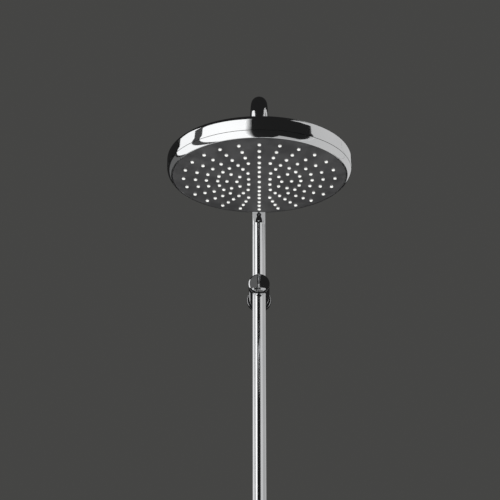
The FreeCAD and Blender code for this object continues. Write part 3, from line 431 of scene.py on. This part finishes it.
def bracket():
    """Horizontal turned bar with the bore for both tubes and three screw holes."""
    low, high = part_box("bracket_body")
    radius = high[0]
    inner = 12.6 * MM
    boss = 20 * MM
    seat = high[1] - boss
    outline = [(0, low[1]), (radius, low[1]), (radius, high[1]), (inner, high[1]), (inner, seat), (0, seat)]
    body = lathe("bracket", eased(outline, 0.4 * MM), (0, 0, 0), "y", "chrome", "column", ["bracket_body"],
                 steps=160)
    drill(body, (0, RISER.y, 0), (0, 0, 1), TUBE + TURNING, 40 * MM)
    grub = 2 * MM
    depth = 32 * MM                               # of the cutter, which starts outside the bar
    out = 20 * MM
    level = 7 * MM
    drill(body, (out, RISER.y, level), (1, 0, 0), grub, depth)
    drill(body, (-out, RISER.y, -level), (1, 0, 0), grub, depth)
    drill(body, (0, high[1] - boss / 2, -out), (0, 0, 1), grub, depth)


def drill(piece, place, axis, radius, length):
    """Takes a round hole out of a piece's mesh."""
    shape = bmesh.new()
    bmesh.ops.create_cone(shape, cap_ends=True, segments=96, radius1=radius, radius2=radius, depth=length)
    mesh = bpy.data.meshes.new("cutter")
    shape.to_mesh(mesh)
    shape.free()
    mesh.transform(Matrix.Translation(place) @ Vector(axis).to_track_quat("Z", "Y").to_matrix().to_4x4())
    cutter = bpy.data.objects.new("cutter", mesh)
    bpy.context.scene.collection.objects.link(cutter)
    change = piece.modifiers.new("hole", "BOOLEAN")
    change.operation = "DIFFERENCE"
    change.solver = "EXACT"
    change.object = cutter
    bpy.context.view_layer.update()
    result = bpy.data.meshes.new_from_object(piece.evaluated_get(bpy.context.evaluated_depsgraph_get()))
    piece.modifiers.clear()
    old = piece.data
    piece.data = result
    bpy.data.meshes.remove(old)
    bpy.data.objects.remove(cutter)
    bpy.data.meshes.remove(mesh)


def bracket_cap():
    low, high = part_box("bracket_front_cap")
    radius = high[0]
    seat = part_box("bracket_body")[0][1]
    plug = 12 * MM
    dome = 1.2 * MM
    edge = 2.5 * MM
    reach = radius - edge
    points = [(reach * i / 24, low[1] + dome * (i / 24) ** 2) for i in range(25)]
    points += circle_arc((reach, low[1] + dome + edge), edge, -78, 0, 12)
    chamfer = 0.25 * MM
    points += [(radius, seat - chamfer), (radius - chamfer, seat)]
    points += [(plug, seat), (plug, high[1]), (0, high[1])]
    lathe("bracket_cap", points, (0, 0, 0), "y", "chrome", "column", ["bracket_front_cap"], steps=160)


def flange():
    low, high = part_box("bracket_flange")
    outer = high[0]
    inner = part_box("bracket_body")[1][0] + LOOSE
    edge = 1.5 * MM
    points = [(inner, high[1]), (inner, low[1])]
    points += circle_arc((outer - edge, low[1] + edge), edge, -90, 0, 10)
    points += [(outer, high[1])]
    lathe("wall_flange", points, (0, 0, 0), "y", "chrome", "column", ["bracket_flange"], steps=160)


def rosette():
    low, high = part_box("inlet_rosette")
    centre = (0, 0, (low[2] + high[2]) / 2)
    inner = INLET + LOOSE
    collar = inner + 4 * MM
    outer = 32 * MM
    wall = 1.5 * MM

    def dish(lift):
        """From the flat collar out to the wall, falling ever more steeply."""
        points = []
        for i in range(25):
            t = i / 24
            radius = collar + (outer - collar - lift) * t
            points.append((radius, low[1] + lift + (high[1] - low[1] - wall - lift) * t ** 2.4))
        return points

    outline = [(inner, low[1])] + dish(0) + [(outer, high[1]), (outer - wall, high[1])]
    outline += list(reversed(dish(wall)))[1:] + [(inner, low[1] + wall)]
    lathe("wall_rosette", outline, centre, "y", "chrome", "column", ["inlet_rosette"], steps=160)


def inlet():
    low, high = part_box("inlet_elbow")
    level = low[2] + INLET
    bend = 20 * MM
    bore = 10.5 * MM
    stations = route_points((0, RISER.y, high[2]), (0, RISER.y, level), (0, high[1], level), bend, steps=40)
    hose("inlet_bend", stations, INLET, bore, "chrome", "column", ["inlet_elbow"], ease=0.6 * MM)


def union_nut():
    low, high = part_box("riser_union_nut")
    flats = 15 * MM
    outer = 16.5 * MM
    thread = INLET + TURNING
    hole = 10.2 * MM
    edge = 3 * MM
    top = high[2]
    step = top - 4.6 * MM

    def hexagon(radius, height, angle):
        turn = (math.degrees(angle) % 60) - 30
        return min(radius, flats / math.cos(math.radians(turn)))

    outline = [(thread, low[2]), (15.2 * MM, low[2]), (outer, low[2] + 1.0 * MM), (outer, top - edge)]
    outline += circle_arc((outer - edge, top - edge), edge, 10, 80, 8)
    outline += [(outer - 3.6 * MM, top), (hole, top), (hole, step), (thread, step)]
    lathe("union_nut", outline, (0, RISER.y, 0), "z", "chrome", "column", ["riser_union_nut"], steps=240,
          shaping=hexagon, sharp=25)


def ball_housing():
    """Round nut and flanged cup that hold the ball between them."""
    nut_low, nut_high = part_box("socket_nut")
    cup_low, cup_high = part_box("ball_cup")
    outer = 18 * MM
    edge = 4 * MM
    bevel = 0.8 * MM
    inner = CUP + LOOSE
    top = nut_high[2]
    mouth_angle = 30
    mouth = math.radians(mouth_angle)
    lip = (CAVITY * math.cos(mouth), BALL_Z + CAVITY * math.sin(mouth))
    outline = [(inner, nut_low[2]), (outer - bevel, nut_low[2]), (outer, nut_low[2] + bevel)]
    outline += circle_arc((outer - edge, top - edge), edge, 0, 75, 12)
    outline += [(lip[0] + top - lip[1], top)]
    outline += circle_arc((0, BALL_Z), CAVITY, mouth_angle, 0, 12)
    outline += [(inner, BALL_Z)]
    lathe("ball_nut", outline, AXIS, "z", "chrome", "head", ["socket_nut"], steps=160)
    step = nut_low[2] - 0.4 * MM
    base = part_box("neck_washer")[1][2]
    bore = 4.5 * MM
    stem = 8 * MM
    bevel = 0.4 * MM
    outline = [(bore, cup_low[2]), (stem, cup_low[2]), (stem, base), (CUP_FLANGE - bevel, base),
               (CUP_FLANGE, base + bevel), (CUP_FLANGE, step - bevel), (CUP_FLANGE - bevel, step),
               (CUP, step), (CUP, cup_high[2])]
    outline += circle_arc((0, BALL_Z), CAVITY, -2.2, -69.9, 16)
    lathe("ball_cup_turned", outline, AXIS, "z", "chrome", "head", ["ball_cup"], steps=160)


def threaded(core, start, end, pitch, depth):
    """Cuts a thread between two heights where an outline stands outside the core."""
    def shape(radius, height, angle):
        if not start < height < end or radius < core:
            return radius
        fade = min((height - start) / pitch, (end - height) / pitch, 1)
        phase = (height / pitch - angle / (2 * math.pi)) % 1
        return radius - depth * fade * abs(2 * phase - 1)
    return shape


def rows(radius, start, end, step):
    """Closely spaced points up a straight side."""
    count = max(int(abs(end - start) / step), 1)
    return [(radius, start + (end - start) * i / count) for i in range(count + 1)]


def nipple():
    """G1/2 nipple: a thread into the wall, a plain neck and a plain end in the elbow."""
    low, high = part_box("inlet_nipple")
    centre = (0, 0, (low[2] + high[2]) / 2)
    outer = high[0]
    bore = 7.5 * MM
    bevel = 1 * MM
    neck = outer - bevel
    fine = 0.22 * MM
    outline = [(bore, low[1]), (neck, low[1])] + rows(outer, low[1] + bevel, -13 * MM, fine)
    outline += [(neck, -12 * MM), (neck, 0)] + rows(outer, bevel, high[1] - bevel, fine)
    outline += [(neck, high[1]), (bore, high[1])]
    shaping = threaded(neck + 0.1 * MM, bevel, high[1] - 0.5 * MM, 1.814 * MM, 0.9 * MM)
    lathe("nipple", outline, centre, "y", "raw_brass", "column", ["inlet_nipple"], steps=96, shaping=shaping)


def wall_screw():
    """Wood screw with a hexagon socket in its cone-backed head."""
    low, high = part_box("bracket_wall_screw")
    head = high[0]
    shank = 3 * MM
    key = 2.4 * MM
    bottom = low[1] + 3 * MM
    outline = [(0, bottom), (key, bottom), (key, low[1]), (head, low[1])]
    outline += rows(shank, low[1] + head - shank, high[1] - shank, 0.35 * MM) + [(0, high[1])]
    thread = threaded(shank - 0.05 * MM, low[1] + 14 * MM, high[1] - 2 * MM, 2.2 * MM, 0.75 * MM)

    def shape(radius, height, angle):
        if height < bottom + 0.1 * MM and radius < key + 0.1 * MM:
            turn = (math.degrees(angle) % 60) - 30
            return radius / math.cos(math.radians(turn))
        return thread(radius, height, angle)

    lathe("wall_screw", outline, (0, 0, 0), "y", "steel", "column", ["bracket_wall_screw"], steps=72,
          shaping=shape)


def wall_plug():
    """Nylon plug with saw-tooth ribs and a slot down each side."""
    low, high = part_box("bracket_wall_plug")
    outer = high[0]
    bore = 3 * MM
    first = 6 * MM
    outline = [(bore, low[1]), (outer, low[1])] + rows(outer, first, high[1] - 3 * MM, 0.5 * MM)
    outline += [(outer - 1 * MM, high[1]), (0, high[1]), (0, high[1] - 4 * MM), (bore, high[1] - 8 * MM)]

    def ribs(radius, height, angle):
        if radius < outer - 0.1 * MM or not first < height < high[1] - 3.5 * MM:
            return radius
        saw = ((height - first) / (4 * MM)) % 1
        in_slot = abs(math.sin(angle)) < 0.16 and height > 14 * MM
        return radius - 0.55 * MM * saw - (0.6 * MM if in_slot else 0)

    lathe("wall_plug", outline, (0, 0, 0), "y", "plug_nylon", "column", ["bracket_wall_plug"], steps=96,
          shaping=ribs)


def stud():
    """Ball, neck, flange with two spanner flats, and the threaded shank in the elbow."""
    low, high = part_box("ball_stud")
    neck = 6 * MM
    hole = 4 * MM
    shank = 8.45 * MM
    foot = low[2] - BALL_Z
    top = high[2] - BALL_Z
    flange = 10.5 * MM
    flats = 9 * MM
    bevel = 0.3 * MM
    flange_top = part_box("stud_washer")[0][2] - BALL_Z
    flange_low = flange_top - 3 * MM
    start = math.degrees(math.asin(foot / BALL))
    end = math.degrees(math.acos(neck / BALL))
    outline = [(hole, foot)] + circle_arc((0, 0), BALL, start, end, 36)
    outline += [(neck, flange_low - 0.8 * MM), (neck + 0.8 * MM, flange_low), (flange - bevel, flange_low),
                (flange, flange_low + bevel), (flange, flange_top - bevel), (flange - bevel, flange_top)]
    outline += [(shank, flange_top)] + rows(shank, flange_top + 0.5 * MM, top - 0.6 * MM, 0.2 * MM)
    seat = 6.6 * MM
    floor = top - 3.2 * MM
    outline += [(shank - 0.5 * MM, top), (seat, top), (seat, floor), (hole, floor)]
    thread = threaded(shank - 0.1 * MM, flange_top + 1 * MM, top - 0.5 * MM, 1.337 * MM, 0.6 * MM)

    def shape(radius, height, angle):
        if flange_low - 0.1 * MM < height < flange_top + 0.1 * MM and radius > flats:
            return min(radius, flats / max(abs(math.cos(angle)), 1e-6))
        return thread(radius, height, angle)

    lathe("stud", outline, AXIS + Vector((0, 0, BALL_Z)), "z", "chrome", "arm", ["ball_stud"], steps=144,
          shaping=shape)


NOZZLE_CIRCLE = 100 * MM
# share of the outer circle's radius, and how many nozzles stand on each ring
NOZZLE_RINGS = [(1.0, 24), (0.843, 24), (0.698, 24), (0.548, 24),
                (0.4265, 12), (0.296, 12), (0.162, 6), (0.0, 1)]


def face_rise(radius):
    """Height of the domed face's underside over its lowest point."""
    sag = 5 * MM
    big = (NOZZLE_CIRCLE * NOZZLE_CIRCLE + sag * sag) / (2 * sag)
    return big - math.sqrt(big * big - radius * radius)


def nozzles():
    """The mat behind the face with all its soft nozzles, each with its own fine jet hole."""
    outer = 2.25 * MM
    hole = 0.7 * MM
    tall = 1.8 * MM
    back = 3.8 * MM
    edge = outer * 0.55
    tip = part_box("nozzle_mat")[0][2]
    profile = [(hole, back), (hole, 0.9 * MM), (hole, 0.12 * MM), (hole + 0.14 * MM, 0)]
    profile += circle_arc((outer - edge, edge), edge, -90, 0, 8)
    profile += [(outer, tall - 0.1 * MM), (outer, back)]
    shape = bmesh.new()
    for share, count in NOZZLE_RINGS:
        radius = NOZZLE_CIRCLE * share
        for i in range(count):
            angle = 2 * math.pi * i / count - math.pi / 2
            way = Vector((math.cos(angle), math.sin(angle), 0))
            place = AXIS + way * radius + Vector((0, 0, tip + face_rise(radius)))
            grid(shape, spun(profile, place, "z", 28), closed=True)
    base = tip + tall + 3 * MM
    reach = 103.2 * MM
    plate = [(reach * i / 30, base + face_rise(reach * i / 30)) for i in range(31)]
    upper = [(r, z + 1.6 * MM) for r, z in reversed(plate)]
    grid(shape, spun(plate + upper, AXIS, "z", 144), closed=True)
    drop_slivers(shape)
    finish_mesh("nozzles", shape, "nozzle_silicone", "head", ["nozzle_mat"], sharp=50)


for make in (head_shell, head_rim, riser, arm, arm_elbow, bracket, bracket_cap, flange, rosette, inlet,
             union_nut, ball_housing, nipple, wall_screw, wall_plug, stud, nozzles):
    make()


# ---------------------------------------------------------------- camera, light and floor

def add_camera():
    """From below and in front of the head, looking up at it."""
    data = bpy.data.cameras.new("camera")
    camera = bpy.data.objects.new("camera", data)
    bpy.context.scene.collection.objects.link(camera)
    pitch = math.radians(22.5)
    yaw = -0.0045
    level = Vector((math.sin(yaw), math.cos(yaw), 0))
    ahead = level * math.cos(pitch) + Vector((0, 0, math.sin(pitch)))
    above = Vector((0, 0, math.cos(pitch))) - level * math.sin(pitch)
    aim = Vector((HEAD.x, HEAD.y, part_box("nozzle_mat")[0][2] + 0.0058))
    away = 2.072
    down = 0.0940
    left = 0.0123
    camera.location = aim - ahead * away - above * down - Vector((left, 0, 0))
    camera.rotation_mode = "QUATERNION"
    camera.rotation_quaternion = (-ahead).to_track_quat("Z", "Y")
    data.sensor_width = 36
    data.lens = 112.9
    data.clip_start = 0.05
    data.clip_end = 100
    bpy.context.scene.camera = camera


PANEL_AWAY = 1.8                 # metres from the pieces to their panels


def panel(name, azimuth, elevation, radiance, centre, receivers):
    """An upright soft panel that faces centre and covers a range of azimuth and one of elevation.

    Azimuth is 0 in front and grows to the right; radiance is how bright the panel looks."""
    middle_way = math.radians((azimuth[0] + azimuth[1]) / 2)
    half = math.radians((azimuth[1] - azimuth[0]) / 2)
    low = PANEL_AWAY * math.tan(math.radians(elevation[0]))
    high = PANEL_AWAY * math.tan(math.radians(elevation[1]))
    data = bpy.data.lights.new(name, "AREA")
    data.shape = "RECTANGLE"
    data.size = 2 * PANEL_AWAY * math.tan(half)
    data.size_y = high - low
    data.energy = radiance * math.pi * data.size * data.size_y
    lamp = bpy.data.objects.new(name, data)
    bpy.context.scene.collection.objects.link(lamp)
    way = Vector((math.sin(middle_way), -math.cos(middle_way), 0))
    lamp.location = centre + way * PANEL_AWAY + Vector((0, 0, (low + high) / 2))
    lamp.rotation_mode = "QUATERNION"
    lamp.rotation_quaternion = way.to_track_quat("Z", "Y")
    lamp.visible_camera = False
    light_only(lamp, receivers)
    return lamp


def light_only(lamp, receivers):
    """Lamps for the same pieces share one collection: the renderer keeps few of them apart."""
    name = f"lit_{receivers[0].name}_{len(receivers)}"
    group = bpy.data.collections.get(name)
    if group is None:
        group = bpy.data.collections.new(name)
        for piece in receivers:
            group.objects.link(piece)
    lamp.light_linking.receiver_collection = group


def fill(name, azimuth, elevation, distance, width, power, aim):
    """A soft square lamp that lights matt surfaces and doesn't show in polished ones."""
    data = bpy.data.lights.new(name, "AREA")
    data.shape = "SQUARE"
    data.size = width
    data.energy = power
    lamp = bpy.data.objects.new(name, data)
    bpy.context.scene.collection.objects.link(lamp)
    a = math.radians(azimuth)
    e = math.radians(elevation)
    way = Vector((math.sin(a) * math.cos(e), -math.cos(a) * math.cos(e), math.sin(e)))
    lamp.location = aim + way * distance
    lamp.rotation_mode = "QUATERNION"
    lamp.rotation_quaternion = way.to_track_quat("Z", "Y")
    lamp.visible_camera = False
    lamp.visible_glossy = False


def pieces(*names):
    return [bpy.data.objects[name] for name in names]


def add_lights():
    head = Vector((HEAD.x, HEAD.y, 0.02))
    rim = pieces("head_shell", "head_rim")
    neck = pieces("arm_elbow", "ball_nut", "ball_cup_turned", "stud")
    arm_only = pieces("arm")
    risers = pieces("riser", "wall_rosette", "inlet_bend", "union_nut", "nipple", "wall_screw")
    holder = pieces("bracket", "wall_flange")
    bracket_only = pieces("bracket")
    cap = pieces("bracket_cap")
    # broad panels that show in the head's rim
    panel("rim_left", (-72.5, -16), (-74, 43), 1.15, head, rim)
    for step in range(4):
        start = -16 + step * 1.7
        panel(f"rim_left_fade_{step}", (start, start + 1.7), (-74, 43), 0.95 - 0.25 * step, head, rim)
    panel("rim_left_gap", (-84.5, -72.5), (-74, 43), 0.05, head, rim)
    panel("rim_side", (-113, -84.5), (-70, 43), 1.1, head, rim)
    panel("rim_right", (65, 121), (-74, 66), 0.56, head, rim)
    panel("rim_right_high", (54, 65), (50, 60), 0.56, head, rim)
    panel("rim_right_upper", (60, 65), (36, 50), 0.56, head, rim)
    panel("rim_right_low", (60, 65), (-46, 4), 0.56, head, rim)
    panel("rim_low", (28, 65), (-76, -46), 0.45, head, rim)
    panel("rim_back", (121, 160), (-74, 60), 0.56, head, rim)
    # the same room for the neck over the head
    panel("neck_left", (-78, -32), (-10, 29), 1.15, head, neck)
    panel("neck_side", (-132, -92), (-10, 29), 0.95, head, neck)
    panel("neck_left_arch", (-122, -40), (29, 33), 1.1, head, neck)
    narrowing = [(-10, 27, 40, 150), (27, 31, 52, 135), (31, 36, 65, 118), (36, 41, 80, 102)]
    for low, high, start, end in narrowing:
        half_way = (start + end) / 2
        panel(f"neck_right_{start}", (start, half_way), (low, high), 0.55, head, neck)
        panel(f"neck_far_right_{start}", (half_way, end), (low, high), 0.55, head, neck)
    # and for the tubes, cut off where the arm starts to bend over the bather
    bend = Vector((0, RISER.y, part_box("arm_tube")[1][2] - TUBE - ARM_BEND))
    room = [("left", (-72, -36), 1.2), ("gap", (-92, -72), 0.12), ("side", (-126, -92), 0.95),
            ("back_left", (-178, -126), 0.55), ("right", (20, 62), 0.62), ("far_right", (62, 121), 0.42),
            ("back_right", (121, 160), 0.5)]
    for name, azimuth, radiance in room:
        panel("riser_" + name, azimuth, (-40, 30), radiance, bend, risers)
        panel("arm_" + name, azimuth, (9, 24.1), radiance, bend, arm_only)
    overhead = panel("arm_overhead", (-40, 40), (-40, 40), 0.6, bend, arm_only)
    overhead.location = bend + Vector((0, -0.2, 2.4))
    overhead.rotation_quaternion = (1, 0, 0, 0)
    panel("holder_left", (-70, -38), (-10, 43), 0.9, bend, holder)
    panel("holder_right", (28, 67), (-10, 43), 0.5, bend, holder)
    panel("cap_left", (-124, -44), (-8, 43), 1.1, bend, cap)
    panel("cap_front", (-40, -4), (-12, 40), 0.10, bend, cap)
    # low and side panels that mostly show from other sides
    for side in (-1, 1):
        for start, end in ((62, 105), (105, 148)):
            azimuth = (start, end) if side > 0 else (-end, -start)
            tag = f"{'right' if side > 0 else 'left'}_{start}"
            panel("low_arm_" + tag, azimuth, (-55, 7), 0.42, bend, arm_only)
            panel("high_arm_" + tag, azimuth, (54, 68), 0.42, bend, arm_only)
            panel("low_neck_" + tag, azimuth, (-60, -8), 0.55, head, neck)
            panel("low_holder_" + tag, azimuth, (-50, 50), 0.35, bend, bracket_only)
    panel("low_arm_back", (150, 210), (-55, 6), 0.7, bend, arm_only)
    panel("low_neck_back", (150, 210), (-60, -8), 0.9, head, neck)
    panel("low_rim_back", (160, 205), (-60, -27), 0.6, head, rim)
    panel("low_rim_left", (205, 243), (-45, 4), 0.12, head, rim)
    panel("low_riser_back", (160, 182), (-40, 30), 0.2, bend, risers)
    # matt parts and the floor
    fill("fill_below", -12, -58, 2.4, 2.2, 62, head)
    fill("fill_top", 20, 60, 3.0, 2.2, 60, head)
    fill("fill_back", 180, 25, 3.0, 2.0, 40, head)
    sun = bpy.data.objects.new("floor_wash", bpy.data.lights.new("floor_wash", "SUN"))
    bpy.context.scene.collection.objects.link(sun)
    sun.data.energy = 2.2
    light_only(sun, [bpy.data.objects["floor"]])


def add_floor():
    mesh = bpy.data.meshes.new("floor")
    shape = bmesh.new()
    bmesh.ops.create_circle(shape, cap_ends=True, segments=96, radius=30)
    shape.to_mesh(mesh)
    shape.free()
    floor = bpy.data.objects.new("floor", mesh)
    bpy.context.scene.collection.objects.link(floor)
    floor.location = (0, 0, FLOOR)
    mat, nodes, links, shader = new_material("floor_pale")
    cloud = noise(nodes, links, 0.7)
    tone = two_tone(nodes, links, cloud.outputs["Fac"], (0.655, 0.655, 0.65), (0.67, 0.67, 0.665))
    links.new(tone, shader.inputs["Base Color"])
    shader.inputs["Roughness"].default_value = 0.6
    mesh.materials.append(mat)
    floor.visible_glossy = False
    floor.visible_shadow = False


def set_world():
    """Dark room: a plain grey behind the object, nearly black in polished surfaces."""
    world = bpy.data.worlds.new("studio")
    world.use_nodes = True
    nodes = world.node_tree.nodes
    links = world.node_tree.links
    room = nodes["Background"]
    room.inputs["Color"].default_value = (0.014, 0.014, 0.014, 1)
    behind = nodes.new("ShaderNodeBackground")
    behind.inputs["Color"].default_value = (0.060, 0.060, 0.058, 1)
    path = nodes.new("ShaderNodeLightPath")
    mix = nodes.new("ShaderNodeMixShader")
    links.new(path.outputs["Is Camera Ray"], mix.inputs["Fac"])
    links.new(room.outputs["Background"], mix.inputs[1])
    links.new(behind.outputs["Background"], mix.inputs[2])
    links.new(mix.outputs["Shader"], nodes["World Output"].inputs["Surface"])
    bpy.context.scene.world = world
    bpy.context.scene.view_settings.view_transform = "Standard"


add_camera()
add_floor()
add_lights()
set_world()
